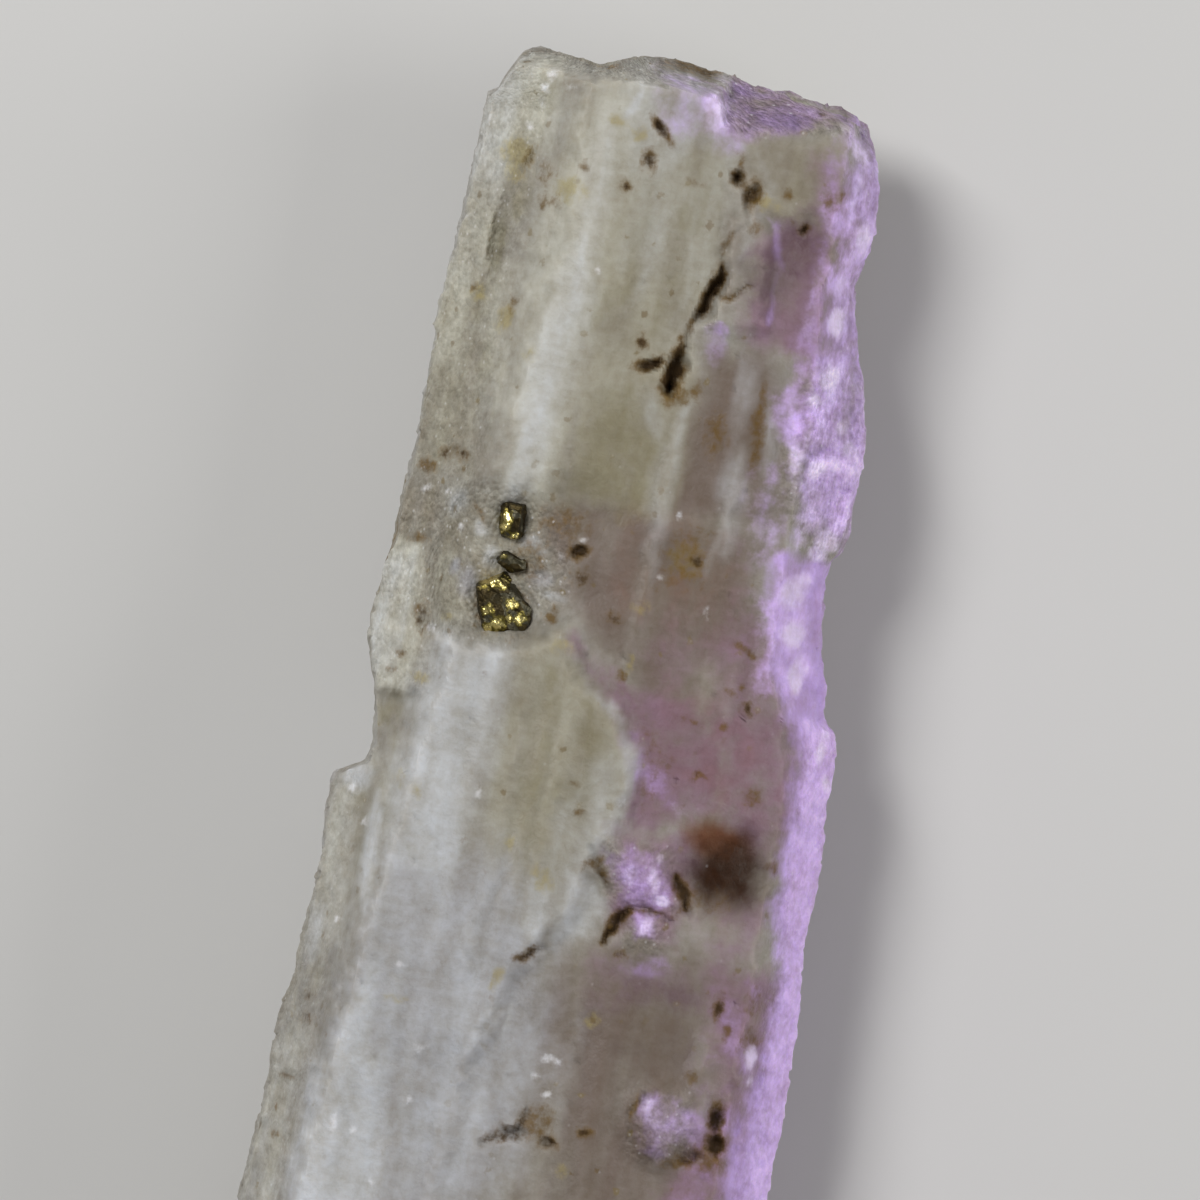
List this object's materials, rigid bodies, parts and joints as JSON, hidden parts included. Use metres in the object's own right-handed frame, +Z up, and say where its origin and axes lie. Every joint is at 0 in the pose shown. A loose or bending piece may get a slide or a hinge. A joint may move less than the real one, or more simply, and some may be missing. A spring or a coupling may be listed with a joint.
{
  "type": "danburite crystal",
  "caption": "Milky striated danburite prism with ledges, pits and a broken end, set with brassy pyrite grains, lying on its flat back.",
  "frame": {"origin": "on the resting plane, under the middle of the crystal's box", "axes": "+Y along the crystal to its upper, broken end; +X to the right flank; +Z up from the flat back it lies on"},
  "size_m": [0.0158, 0.0463, 0.0095],
  "materials": {
    "danburite": "milky, translucent, finely striated, with a violet tint on the right flank",
    "pyrite": "faceted, tarnished dark, with bright gold edges"
  },
  "bodies": {
    "root": {"danburite_crystal": "danburite", "pyrite_grain_upper": "pyrite", "pyrite_grain_middle": "pyrite", "pyrite_grain_lower": "pyrite"}
  },
  "joints": []
}
